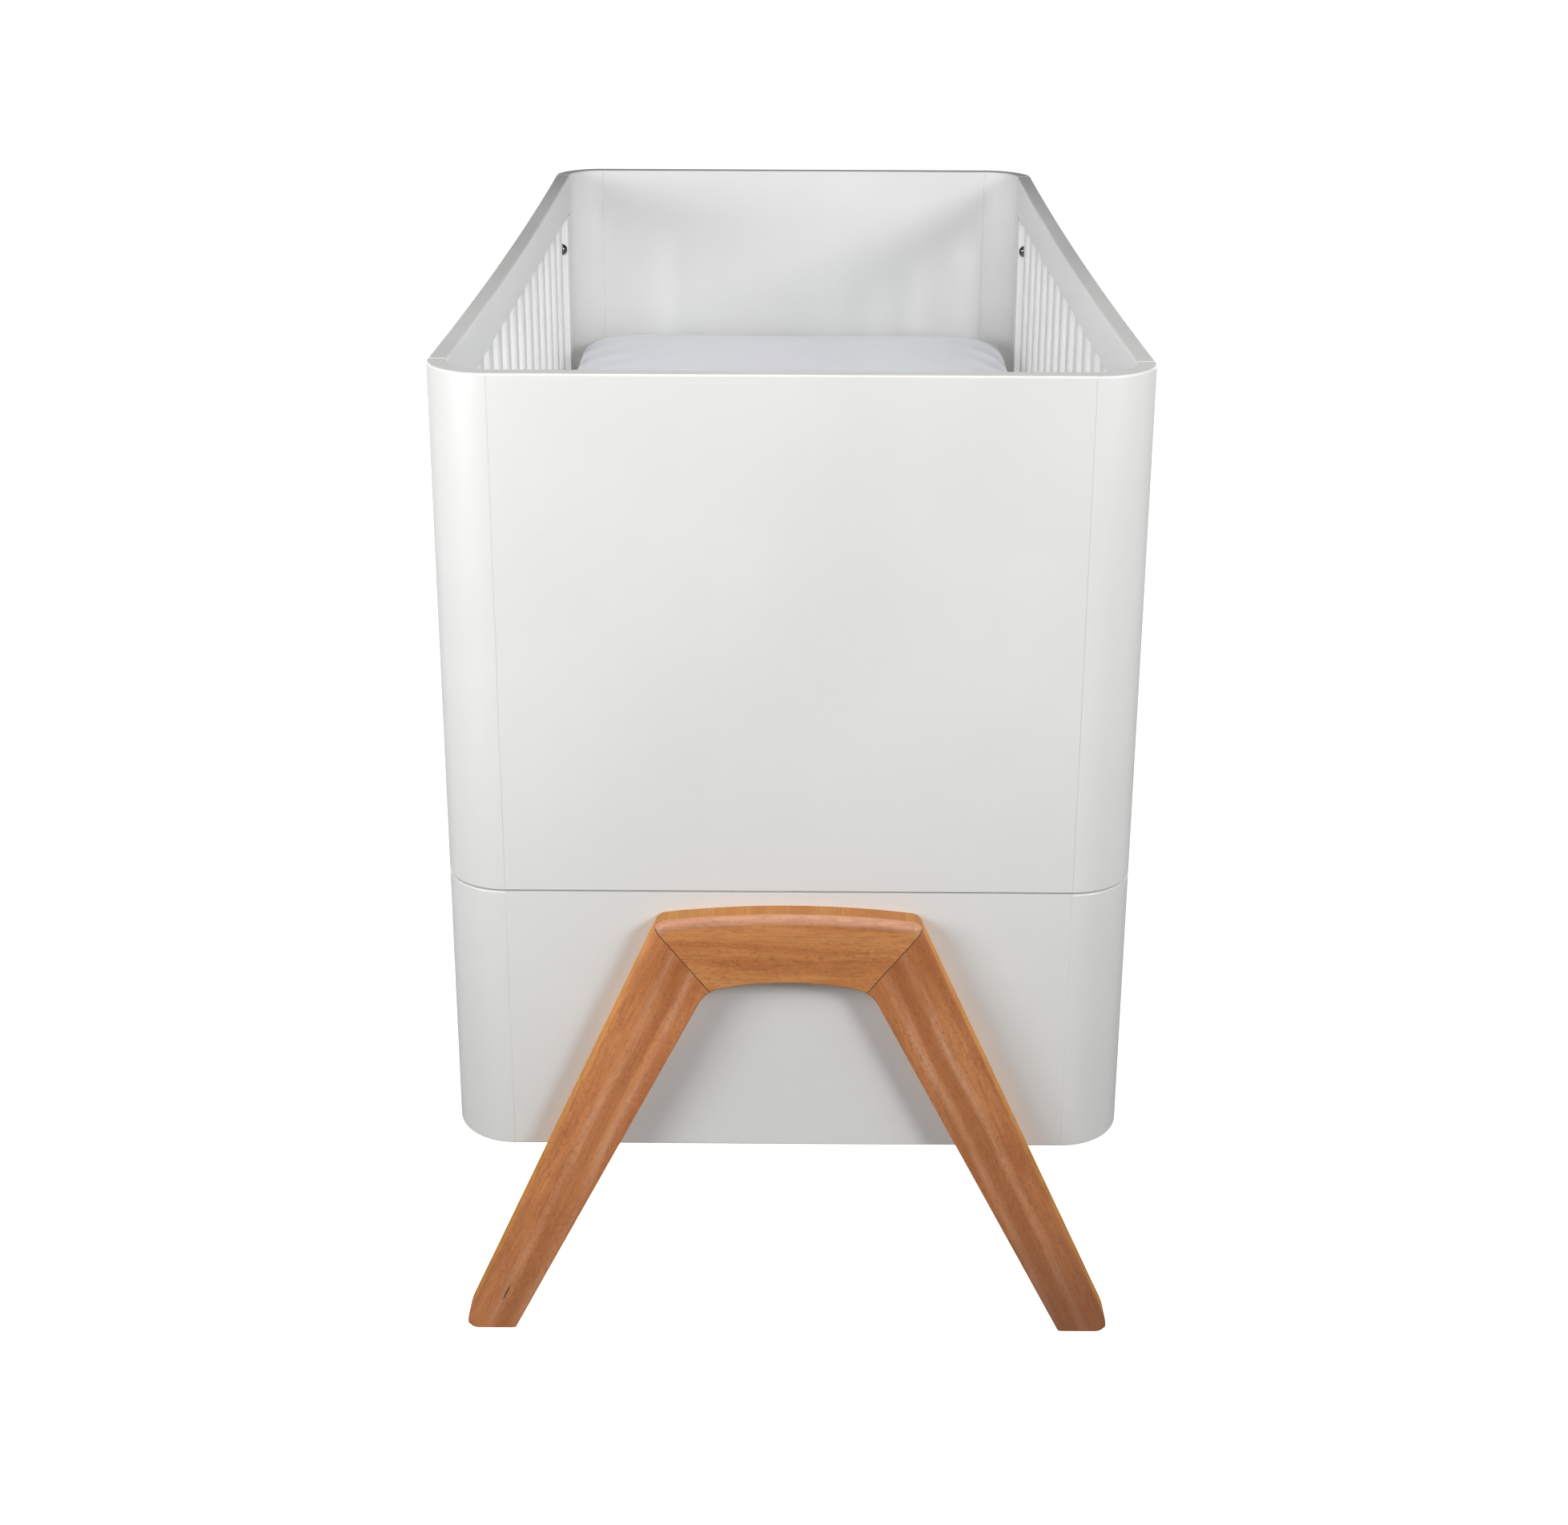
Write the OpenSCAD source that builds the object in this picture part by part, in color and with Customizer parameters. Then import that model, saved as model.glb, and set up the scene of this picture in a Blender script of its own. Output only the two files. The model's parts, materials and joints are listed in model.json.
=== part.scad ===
// Baby crib: a white slatted ring standing on a solid lower ring, carried by two
// splayed wooden leg frames, with a height-adjustable slatted base and a mattress.
// Origin at the centre of the footprint, on the floor. +Y runs along the crib to the
// rear end, +X to its right side, +Z up. Millimetres.

/* [Body] */
// Width over the painted body
body_w = 650; // [640:1:670]
// Length over the painted body, without the leg frames
body_l = 1250; // [1245:1:1300]
// Height of the rim above the floor
rim_h = 960; // [930:1:1000]
// Height of the seam between the upper and the lower ring
seam_h = 465; // [455:1:475]
// Height of the lower ring's bottom edge
body_bottom_h = 194; // [180:1:210]
// Outer radius of the rounded corners
corner_r = 60; // [56:1:64]
// Thickness of panels, posts and rails
wall_t = 18; // [17:0.5:19]

/* [Slatted sides] */
// Height of the top rail at its ends
top_rail_h = 53; // [45:1:60]
// How far the top rail dips at mid-length
rail_dip = 8; // [0:1:20]
// Height of the bottom rail
bottom_rail_h = 40; // [36:1:50]
// Width of the stile at each end of a side
stile_w = 45; // [40:1:50]
// Slats in each side
slat_count = 14; // [13:1:15]
// Width of a slat
slat_w = 24; // [20:1:26]
// Thickness of a slat
slat_t = 12; // [10:0.5:13]

/* [Leg frames] */
// Thickness of a leg frame
frame_t = 26; // [24:1:30]
// Height of the beam's crown
beam_top_h = 452; // [446:1:455]
// Depth of the beam at mid-width
beam_depth = 68.5; // [64:0.5:72]
// Half-width of the beam's crown, up to its rounded shoulders
crown_x = 115; // [110:1:120]
// Half-width over the feet
foot_x = 316; // [312:1:322]
// Width of a foot
foot_w = 48; // [46:1:54]

/* [Base and mattress] */
// Height of the base's top surface in its highest position
base_h = 640; // [636:1:644]
// Drop from the highest to the middle position
middle_drop = 110; // [105:1:112]
// Drop from the highest to the lowest position
lowest_drop = 285; // [280:1:290]
// Length of the mattress
mattress_l = 1200; // [1190:1:1202]
// Width of the mattress
mattress_w = 600; // [590:1:602]
// Thickness of the mattress
mattress_t = 100; // [80:1:110]

/* [Hidden] */
hx = body_w / 2;
hy = body_l / 2;
arc_x = hx - corner_r;            // centre of each corner arc
arc_y = hy - corner_r;
inner_x = hx - wall_t;            // inner faces of the walls
inner_y = hy - wall_t;
wall_mid_x = hx - wall_t / 2;
wall_mid_y = hy - wall_t / 2;
tiny = 0.01;                      // overrun of a cut past a face
fine = 64;                        // facets of a small round
slack = 0.05;                     // clearance of a glued or driven piece

// Slatted sides
rail_low = rim_h - top_rail_h;
bottom_rail_top = seam_h + bottom_rail_h;
tenon = 10;                       // depth of slats and stiles in the rails
slat_round = 5;
slat_room = 2 * (arc_y - stile_w);
slat_gap = (slat_room - slat_count * slat_w) / (slat_count + 1);
slat_pitch = slat_gap + slat_w;
function slat_y(i) = -slat_room / 2 + slat_gap + slat_w / 2 + i * slat_pitch;
rail_steps = 36;
function rail_top(y) = rim_h - rail_dip * (1 - pow(y / arc_y, 2));

// Side bolts, through the stiles into the corner posts
bolt_d = 6;
bolt_hole = 6.5;
head_d = 15;
head_h = 6.5;
insert_d = 9;
insert_l = 16;
side_bolt_z = [seam_h + 85, rim_h - 95];

// Loose tongues in the glue joints between panels and posts
tongue_t = 5;
tongue_w = 16;
tongue_inset = 12;

// Dowels and plates across the seam between the rings
dowel_d = 8;
dowel_l = 40;
end_dowel_x = 60;
side_dowel_y = 200;
plate = [16, 70, 2];              // width, height, thickness
plate_x = 130;
plate_ys = [-420, 0, 420];
plate_screw_z = 24;               // from the seam
screw_d = 4;
screw_head_d = 8;
screw_head_h = 1.2;
screw_l = 13;

// Corner brackets in the lower ring
bracket_z = body_bottom_h + 54;
bracket_h = 40;
bracket_t = 2;
bracket_flange = 45;
bracket_reach = 62;               // from the corner arc's centre to the bend, inward

// Leg frames: outline of the right half in X and Z
crown_drop = 7;                   // fall of the beam's top from crown to shoulder
crown_r = (pow(crown_x, 2) + pow(crown_drop, 2)) / (2 * crown_drop);
function crown_z(x) = beam_top_h - crown_r + sqrt(pow(crown_r, 2) - pow(x, 2));
toe_r = 60;                       // radius of the outer edge just above the floor
toe_a1 = 4;                       // the edge's normal there, above the horizontal
toe_bevel = 3;
toe_c = [foot_x, toe_bevel] - toe_r * [cos(toe_a1), sin(toe_a1)];
shoulder_r = 12;
shoulder_a1 = 90 - asin(crown_x / crown_r);                       // crown's normal
shoulder_c = [crown_x, crown_z(crown_x)] - shoulder_r * [cos(shoulder_a1), sin(shoulder_a1)];
toe_from_shoulder = toe_c - shoulder_c;
shoulder_a0 = atan2(toe_from_shoulder[1], toe_from_shoulder[0])   // leg's outer normal
    + acos((shoulder_r - toe_r) / norm(toe_from_shoulder));
under_r = 320;                    // radius of the beam's underside
under_x = 63;                     // where it runs into the crotch's round
function under_z(x) = beam_top_h - beam_depth - under_r + sqrt(pow(under_r, 2) - pow(x, 2));
crotch_r = 30;
crotch_a1 = 90 - asin(under_x / under_r);
crotch_c = [under_x, under_z(under_x)] - crotch_r * [cos(crotch_a1), sin(crotch_a1)];
foot_inner_x = foot_x - foot_w;
crotch_a0 = atan2(foot_inner_x - crotch_c[0] - crotch_r, crotch_c[1]);
crotch_split = 58;                // angle of the mitre's inner end on the round
arc_steps = 6;
crown_steps = 14;
function on_arc(c, r, a) = c + r * [cos(a), sin(a)];
function arc(c, r, a, b) = [for (i = [0 : arc_steps]) on_arc(c, r, a + (b - a) * i / arc_steps)];
mitre_out = on_arc(shoulder_c, shoulder_r, shoulder_a0);
mitre_in = on_arc(crotch_c, crotch_r, crotch_split);
mitre_mid = (mitre_out + mitre_in) / 2;
mitre_angle = atan2(mitre_out[1] - mitre_in[1], mitre_out[0] - mitre_in[0]);
mitre_dowel_offset = 18;
function leg_outer(z) = mitre_out[0] + (mitre_out[1] - z) * tan(shoulder_a0);
function leg_inner(z) = foot_inner_x - z * tan(crotch_a0);
function leg_mid(z) = (leg_outer(z) + leg_inner(z)) / 2;
frame_bolts = [[45, beam_top_h - 34], [leg_mid(335), 335], [leg_mid(236), 236]];
frame_insert_l = 16;
counterbore = 7;

// Mattress base
base_hx = 300;
base_hy = 602;
base_round = 37;
base_slat_t = 10;
base_slat_w = 70;
base_slat_count = 12;
base_rail_t = 22;
base_rail_h = 40;
base_rail_top = base_h - base_slat_t;
base_bolt_x = 220;
base_bolt_z = base_rail_top - base_rail_h / 2;
base_drops = [0, middle_drop, lowest_drop];
base_tip_gap = 0.5;               // between the bolts' tips and the panel
base_insert_l = 12;
base_screw_d = 6;
base_screw_l = 50;
base_screw_x = base_hx - base_rail_t / 2;
base_corner_dx = base_screw_x + base_screw_d / 2 - base_hx + base_round;
base_corner_y = base_hy - base_round + sqrt(pow(base_round, 2) - pow(base_corner_dx, 2));
mattress_round = 50;
function base_slat_y(i) =
    (base_hy - base_slat_w / 2) * (2 * i / (base_slat_count - 1) - 1);

ENDS = ["front", "rear"];
SIDES = ["left", "right"];

// Mirrors its children to the front end, to the left side, or to both.
module at_end(e) { if (e == "front") mirror([0, 1, 0]) children(); else children(); }
module at_side(s) { if (s == "left") mirror([1, 0, 0]) children(); else children(); }
module at_corner(e, s) { at_end(e) at_side(s) children(); }
module at_all_corners() { for (e = ENDS, s = SIDES) at_corner(e, s) children(); }

// A rod along +Y or +X from the origin.
module rod_y(d, l) { rotate([-90, 0, 0]) cylinder(d = d, h = l, $fn = fine); }
module rod_x(d, l) { rotate([0, 90, 0]) cylinder(d = d, h = l, $fn = fine); }
module block(low, high) { translate(low) cube(high - low); }

// ---- Rear right pieces, mirrored for the other ends and sides ----

module tongue_slot(z0, z1, clearance) {
    block([arc_x - tongue_w / 2 - clearance, wall_mid_y - tongue_t / 2 - clearance,
           z0 + tongue_inset - clearance],
          [arc_x + tongue_w / 2 + clearance, wall_mid_y + tongue_t / 2 + clearance,
           z1 - tongue_inset + clearance]);
}

module end_panel(z0, z1) {
    difference() {
        block([-arc_x, inner_y, z0], [arc_x, hy, z1]);
        for (s = SIDES) at_side(s) tongue_slot(z0, z1, slack);
        end_dowels(slack);
        base_insert_set(slack);
        end_plate_screws();
        for (s = SIDES) at_side(s) bracket_end_screws();
        frame_bolt_bores();
    }
}

module corner_post(z0, z1) {
    difference() {
        intersection() {
            translate([arc_x, arc_y, z0]) cylinder(r = corner_r, h = z1 - z0, $fn = 160);
            block([arc_x, arc_y, z0], [hx, hy, z1]);
        }
        translate([arc_x, arc_y, z0 - tiny])
            cylinder(r = corner_r - wall_t, h = z1 - z0 + 2 * tiny, $fn = 160);
        tongue_slot(z0, z1, slack);
        side_insert_pair(slack);
    }
}

module top_rail() {
    difference() {
        translate([inner_x, 0, 0]) rotate([90, 0, 90]) linear_extrude(wall_t)
            polygon(concat(
                [[-arc_y, rail_low], [arc_y, rail_low]],
                [for (i = [rail_steps : -1 : 0])
                    let (y = arc_y * (2 * i / rail_steps - 1)) [y, rail_top(y)]]));
        slat_row(slack);
        stile_pair(slack);
    }
}

module bottom_rail() {
    difference() {
        block([inner_x, -arc_y, seam_h], [hx, arc_y, bottom_rail_top]);
        slat_row(slack);
        stile_pair(slack);
        side_dowels(slack);
        side_plate_screws();
    }
}

// One slat's rounded section, upright between the two rails, with its ends in them.
module slat(i, clearance) {
    x = slat_t / 2 - slat_round;
    y = slat_w / 2 - slat_round;
    r = slat_round + clearance;
    translate([wall_mid_x, slat_y(i), bottom_rail_top - tenon - clearance])
        linear_extrude(rail_low - bottom_rail_top + 2 * tenon + 2 * clearance) {
            for (a = [-x, x], b = [-y, y]) translate([a, b]) circle(r, $fn = 32);
            square([2 * x + 2 * r, 2 * y], center = true);
            square([2 * x, 2 * y + 2 * r], center = true);
        }
}

module slat_row(clearance) { for (i = [0 : slat_count - 1]) slat(i, clearance); }

// A stile with a tenon at each end.
module stile_body(clearance) {
    block([inner_x, arc_y - stile_w, bottom_rail_top], [hx, arc_y, rail_low]);
    block([wall_mid_x - 4 - clearance, arc_y - stile_w + 8 - clearance,
           bottom_rail_top - tenon - clearance],
          [wall_mid_x + 4 + clearance, arc_y - 8 + clearance,
           rail_low + tenon + clearance]);
}

module stile_pair(clearance) { for (e = ENDS) at_end(e) stile_body(clearance); }

module stile() {
    difference() {
        stile_body(0);
        for (z = side_bolt_z)
            translate([wall_mid_x, arc_y - stile_w - tiny, z])
                rod_y(bolt_hole, stile_w + 2 * tiny);
    }
}

module apron() {
    difference() {
        block([inner_x, -arc_y, body_bottom_h], [hx, arc_y, seam_h]);
        side_dowels(slack);
        side_plate_screws();
        for (e = ENDS) at_end(e) bracket_side_screws();
    }
}

// ---- Leg frames ----

// The arched beam, between the two mitres.
module beam_outline() {
    mirrored = function (points) [for (i = [len(points) - 1 : -1 : 0]) [-points[i][0], points[i][1]]];
    shoulder = arc(shoulder_c, shoulder_r, shoulder_a1, shoulder_a0);
    crotch = arc(crotch_c, crotch_r, crotch_split, crotch_a1);
    crown = [for (i = [1 - crown_steps : crown_steps - 1])
        let (x = crown_x * i / crown_steps) [x, crown_z(x)]];
    under = [for (i = [crown_steps - 1 : -1 : 1 - crown_steps])
        let (x = under_x * i / crown_steps) [x, under_z(x)]];
    polygon(concat(mirrored(shoulder), crown, shoulder, crotch, under, mirrored(crotch)));
}

// The right leg, whose outer edge curves steeper just above the floor.
module leg_outline() {
    polygon(concat(
        [mitre_out],
        arc(toe_c, toe_r, shoulder_a0, toe_a1),
        [[foot_x - toe_bevel, 0], [foot_inner_x, 0]],
        arc(crotch_c, crotch_r, crotch_a0, crotch_split)));
}

module framed(depth) {
    translate([0, hy + depth, 0]) rotate([90, 0, 0]) linear_extrude(depth) children();
}

module leg_beam() {
    difference() {
        framed(frame_t) beam_outline();
        for (s = SIDES) at_side(s) mitre_dowel_pair(slack);
        frame_insert_set(slack);
    }
}

module leg() {
    difference() {
        framed(frame_t) leg_outline();
        mitre_dowel_pair(slack);
        frame_insert_set(slack);
    }
}

module mitre_dowel_pair(clearance) {
    for (k = [-1, 1])
        translate([mitre_mid[0], hy + frame_t / 2, mitre_mid[1]])
            rotate([0, -mitre_angle, 0])
                translate([k * mitre_dowel_offset, 0, -dowel_l / 2 - clearance])
                    cylinder(d = dowel_d + 2 * clearance, h = dowel_l + 2 * clearance, $fn = fine);
}

// Bolts from inside the lower panel, with their heads sunk below its inner face.
module frame_bolt_bores() {
    for (s = SIDES) at_side(s) for (p = frame_bolts) translate([p[0], 0, p[1]]) {
        translate([0, inner_y - tiny, 0]) rod_y(head_d + 2, counterbore + tiny);
        translate([0, inner_y, 0]) rod_y(bolt_hole, wall_t + tiny);
    }
}

module frame_insert_set(clearance) {
    for (s = SIDES) at_side(s) for (p = frame_bolts)
        translate([p[0], hy - (clearance > 0 ? tiny : 0), p[1]])
            rod_y(insert_d + 2 * clearance, frame_insert_l + clearance);
}

// ---- Fasteners, at the rear end or rear right corner ----

module bolt_y(reach) {
    dome_r = 9;
    rod_y(bolt_d, reach);
    difference() {
        intersection() {
            translate([0, dome_r - head_h, 0]) sphere(r = dome_r, $fn = fine);
            translate([0, -head_h - tiny, 0]) rod_y(head_d, head_h + tiny);
        }
        translate([0, -head_h - 1, 0]) rotate([-90, 0, 0]) cylinder(d = 4.6, h = 3.5, $fn = 6);
    }
}

module hollow_insert(length, bore) {
    difference() {
        rod_y(insert_d, length);
        translate([0, -tiny, 0]) rod_y(bolt_d + 2 * slack, bore + tiny);
    }
}

module side_insert_pair(clearance) {
    for (z = side_bolt_z) translate([wall_mid_x, arc_y - (clearance > 0 ? tiny : 0), z])
        rod_y(insert_d + 2 * clearance, insert_l + clearance);
}

module end_dowels(clearance) {
    for (s = SIDES) at_side(s)
        translate([end_dowel_x, wall_mid_y, seam_h - dowel_l / 2 - clearance])
            cylinder(d = dowel_d + 2 * clearance, h = dowel_l + 2 * clearance, $fn = fine);
}

module side_dowels(clearance) {
    for (e = ENDS) at_end(e)
        translate([wall_mid_x, side_dowel_y, seam_h - dowel_l / 2 - clearance])
            cylinder(d = dowel_d + 2 * clearance, h = dowel_l + 2 * clearance, $fn = fine);
}

module base_insert_set(clearance) {
    for (s = SIDES) at_side(s) for (drop = base_drops)
        translate([base_bolt_x, inner_y - (clearance > 0 ? tiny : 0), base_bolt_z - drop])
            rod_y(insert_d + 2 * clearance, base_insert_l + clearance);
}

// Screw with its thin head standing on a plate that lies on the wall's inner face.
module screw_y() {
    translate([0, -plate[2] - screw_head_h, 0]) rod_y(screw_head_d, screw_head_h);
    translate([0, -plate[2] - tiny, 0]) rod_y(screw_d, screw_l - plate[2] + tiny);
}

module end_plate_screws() {
    for (s = SIDES) at_side(s) for (k = [-1, 1])
        translate([plate_x, inner_y, seam_h + k * plate_screw_z]) screw_y();
}

module side_plate_screws() {
    for (y = plate_ys, k = [-1, 1])
        translate([inner_x, y, seam_h + k * plate_screw_z]) rotate([0, 0, -90]) screw_y();
}

// A bent strip: one flange on the side wall, one on the end wall, and a diagonal.
module bracket_profile() {
    far = bracket_reach;
    x_in = inner_x - bracket_t;
    y_in = inner_y - bracket_t;
    polygon([
        [inner_x, arc_y - far - bracket_flange], [inner_x, arc_y - far],
        [arc_x - far, inner_y], [arc_x - far - bracket_flange, inner_y],
        [arc_x - far - bracket_flange, y_in], [arc_x - far - 1, y_in],
        [x_in, arc_y - far - 1], [x_in, arc_y - far - bracket_flange]]);
}

bracket_screw_zs = [bracket_z + 10, bracket_z + bracket_h - 10];
bracket_screw_at = bracket_reach + bracket_flange - 14;   // inward from the corner arc's centre

module bracket_side_screws() {
    for (z = bracket_screw_zs)
        translate([inner_x, arc_y - bracket_screw_at, z]) rotate([0, 0, -90]) screw_y();
}

module bracket_end_screws() {
    for (z = bracket_screw_zs) translate([arc_x - bracket_screw_at, inner_y, z]) screw_y();
}

module corner_bracket() {
    difference() {
        translate([0, 0, bracket_z]) linear_extrude(bracket_h) bracket_profile();
        bracket_side_screws();
        bracket_end_screws();
    }
}

module joining_plate_set() {
    difference() {
        for (e = ENDS, s = SIDES) at_corner(e, s)
            block([plate_x - plate[0] / 2, inner_y - plate[2], seam_h - plate[1] / 2],
                  [plate_x + plate[0] / 2, inner_y, seam_h + plate[1] / 2]);
        for (e = ENDS) at_end(e) end_plate_screws();
    }
    difference() {
        for (s = SIDES, y = plate_ys) at_side(s)
            block([inner_x - plate[2], y - plate[0] / 2, seam_h - plate[1] / 2],
                  [inner_x, y + plate[0] / 2, seam_h + plate[1] / 2]);
        for (s = SIDES) at_side(s) side_plate_screws();
    }
}

// ---- Mattress base ----

module base_column(z0, z1) {
    x = base_hx - base_round;
    y = base_hy - base_round;
    translate([0, 0, z0]) linear_extrude(z1 - z0) {
        for (a = [-x, x], b = [-y, y]) translate([a, b]) circle(base_round, $fn = 96);
        square([2 * base_hx, 2 * y], center = true);
        square([2 * x, 2 * base_hy], center = true);
    }
}

module base_end_rail() {
    difference() {
        intersection() {
            block([-base_hx, base_hy - base_rail_t, base_rail_top - base_rail_h],
                  [base_hx, base_hy, base_rail_top]);
            base_column(base_rail_top - base_rail_h, base_rail_top);
        }
        for (s = SIDES) at_side(s) translate([base_bolt_x, base_hy - base_rail_t - tiny, base_bolt_z])
            rod_y(bolt_hole, base_rail_t + 2 * tiny);
        base_screw_set(slack);
    }
}

module base_side_rail() {
    y = base_hy - base_rail_t;
    difference() {
        intersection() {
            block([base_hx - base_rail_t, -y, base_rail_top - base_rail_h],
                  [base_hx, y, base_rail_top]);
            base_column(base_rail_top - base_rail_h, base_rail_top);
        }
        for (e = ENDS) at_end(e) base_screw_set(slack);
    }
}

module base_centre_rail() {
    y = base_hy - base_rail_t;
    difference() {
        block([-base_rail_t / 2, -y, base_rail_top - base_rail_h],
              [base_rail_t / 2, y, base_rail_top]);
        for (e = ENDS) at_end(e) base_screw_set(slack);
    }
}

// Screws through the end rail into the side and centre rails, with their heads just
// below the rail's outer face, which is rounded at the corners.
module base_screw_set(clearance) {
    for (x = [-1, 0, 1], z = [-10, 10]) {
        head_y = x == 0 ? base_hy : base_corner_y;
        outer_y = clearance > 0 ? base_hy + tiny : head_y;
        tip_y = head_y - base_screw_l - clearance;
        translate([x * base_screw_x, tip_y, base_bolt_z + z])
            rod_y(base_screw_d + 2 * clearance, outer_y - tip_y);
    }
}

module base_slat_set() {
    intersection() {
        for (i = [0 : base_slat_count - 1]) translate([0, base_slat_y(i), 0])
            block([-base_hx, -base_slat_w / 2, base_rail_top],
                  [base_hx, base_slat_w / 2, base_h]);
        base_column(base_rail_top, base_h);
    }
}

module mattress_body() {
    x = mattress_w / 2 - mattress_round;
    y = mattress_l / 2 - mattress_round;
    translate([0, 0, base_h]) linear_extrude(mattress_t) {
        for (a = [-x, x], b = [-y, y]) translate([a, b]) circle(mattress_round, $fn = 96);
        square([mattress_w, 2 * y], center = true);
        square([2 * x, mattress_l], center = true);
    }
}

// ---- Sets of fasteners ----

module base_bolt() {
    translate([base_bolt_x, base_hy - base_rail_t, base_bolt_z])
        bolt_y(inner_y - base_tip_gap - base_hy + base_rail_t);
}

module base_spacer() {
    translate([base_bolt_x, base_hy, base_bolt_z]) difference() {
        rod_y(14, inner_y - base_tip_gap - base_hy);
        translate([0, -tiny, 0]) rod_y(bolt_hole, wall_t);
    }
}

module base_insert_column() {
    for (drop = base_drops) translate([base_bolt_x, inner_y, base_bolt_z - drop])
        hollow_insert(base_insert_l, base_insert_l - 2);
}

module side_bolt_pair() {
    for (z = side_bolt_z) translate([wall_mid_x, arc_y - stile_w, z])
        bolt_y(stile_w + insert_l - 4);
}

module side_inserts() {
    for (z = side_bolt_z) translate([wall_mid_x, arc_y, z]) hollow_insert(insert_l, insert_l - 2);
}

module leg_bolt_set() {
    for (p = frame_bolts) translate([p[0], inner_y + counterbore, p[1]])
        bolt_y(wall_t - counterbore + frame_insert_l - 4);
}

module leg_insert_set() {
    for (p = frame_bolts) translate([p[0], hy, p[1]])
        hollow_insert(frame_insert_l, frame_insert_l - 2);
}

module seam_dowel_set() {
    for (e = ENDS) at_end(e) end_dowels(0);
    for (s = SIDES) at_side(s) side_dowels(0);
}

module tongue_pair() {
    tongue_slot(seam_h, rim_h, 0);
    tongue_slot(body_bottom_h, seam_h, 0);
}

module wood_screw_set() {
    for (e = ENDS) at_end(e) end_plate_screws();
    for (s = SIDES) at_side(s) side_plate_screws();
    at_all_corners() {
        bracket_side_screws();
        bracket_end_screws();
    }
}

// ---- Nodes ----

module paint() { color("#f2f2f0") children(); }
module beech() { color("#b87c4c") children(); }
module pale_wood() { color("#d9bf95") children(); }
module steel() { color("#8a8d90") children(); }
module brass() { color("#b5984f") children(); }
module cover() { color("#cfcdd4") children(); }

for (e = ENDS) {
    paint() at_end(e) end_panel(seam_h, rim_h);
    paint() at_end(e) end_panel(body_bottom_h, seam_h);
    beech() at_end(e) leg_beam();
    pale_wood() at_end(e) base_end_rail();
    for (s = SIDES) {
        paint() at_corner(e, s) corner_post(seam_h, rim_h);
        paint() at_corner(e, s) corner_post(body_bottom_h, seam_h);
        paint() at_corner(e, s) stile();
        beech() at_corner(e, s) leg();
    }
}
for (s = SIDES) {
    paint() at_side(s) top_rail();
    paint() at_side(s) bottom_rail();
    paint() at_side(s) slat_row(0);
    paint() at_side(s) apron();
    pale_wood() at_side(s) base_side_rail();
}
pale_wood() base_centre_rail();  // centre_base_rail
pale_wood() base_slat_set();  // base_slats
steel() at_all_corners() base_bolt();  // base_bolts
steel() at_all_corners() base_spacer();  // base_spacers
steel() for (e = ENDS) at_end(e) base_screw_set(0);  // base_screws
brass() at_all_corners() base_insert_column();  // base_inserts
cover() mattress_body();  // mattress
steel() at_all_corners() side_bolt_pair();  // side_bolts
brass() at_all_corners() side_inserts();
steel() at_all_corners() leg_bolt_set();  // leg_bolts
brass() at_all_corners() leg_insert_set();  // leg_inserts
pale_wood() at_all_corners() mitre_dowel_pair(0);  // mitre_dowels
pale_wood() seam_dowel_set();  // seam_dowels
pale_wood() at_all_corners() tongue_pair();  // panel_tongues
steel() joining_plate_set();  // joining_plates
steel() at_all_corners() corner_bracket();  // corner_brackets
steel() wood_screw_set();  // wood_screws
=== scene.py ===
# The baby crib's looks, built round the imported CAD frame. Metres, +Z up, front end at -Y.
import json
import math

import bmesh
import bpy
from mathutils import Matrix, Vector


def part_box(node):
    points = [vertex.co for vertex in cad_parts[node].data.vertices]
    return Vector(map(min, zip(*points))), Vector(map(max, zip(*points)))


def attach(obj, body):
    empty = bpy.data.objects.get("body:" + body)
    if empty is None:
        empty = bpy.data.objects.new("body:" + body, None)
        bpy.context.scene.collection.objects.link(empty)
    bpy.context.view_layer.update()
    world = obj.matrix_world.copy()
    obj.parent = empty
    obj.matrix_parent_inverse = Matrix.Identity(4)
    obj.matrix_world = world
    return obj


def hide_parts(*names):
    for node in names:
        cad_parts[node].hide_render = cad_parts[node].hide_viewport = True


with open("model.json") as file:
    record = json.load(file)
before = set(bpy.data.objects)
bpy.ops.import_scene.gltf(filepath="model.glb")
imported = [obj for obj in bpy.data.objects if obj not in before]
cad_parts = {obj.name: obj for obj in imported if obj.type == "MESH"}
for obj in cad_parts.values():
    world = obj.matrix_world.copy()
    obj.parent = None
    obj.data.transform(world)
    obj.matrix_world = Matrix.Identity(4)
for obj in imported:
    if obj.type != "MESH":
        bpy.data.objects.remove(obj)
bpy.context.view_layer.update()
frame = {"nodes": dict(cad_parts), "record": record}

NODES = frame["nodes"]
BODIES = frame["record"]["behaviour"]["bodies"]
BODY_OF = {node: body for body, members in BODIES.items() for node in members}
ENDS = ("front", "rear")
SIDES = ("left", "right")
MM = 0.001
SAME_POINT = 0.02 * MM      # points nearer than this count as one
SAME_LEVEL = 0.01 * MM

# Edges of the painted pieces
RIM_ROUND = 2.0 * MM        # rim and rail edges
SEAM_ROUND = 1.4 * MM       # eased edges where the two rings meet
SEAM_GAP = 0.7 * MM         # each ring's share of the shadow gap between them
GLUE_GROOVE = 0.5 * MM      # hairline between an upper panel and a post
LOWER_GROOVE = 0.25 * MM    # the same line on the lower ring, where it barely shows
RAIL_ROUND = 2.6 * MM       # long edges of the top rails
RAIL_STEP = 2.3 * MM        # the piece nearer the front ends this much lower at a rail joint
RAIL_EASE = 0.15 * MM       # the other piece's edge at that joint
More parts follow.
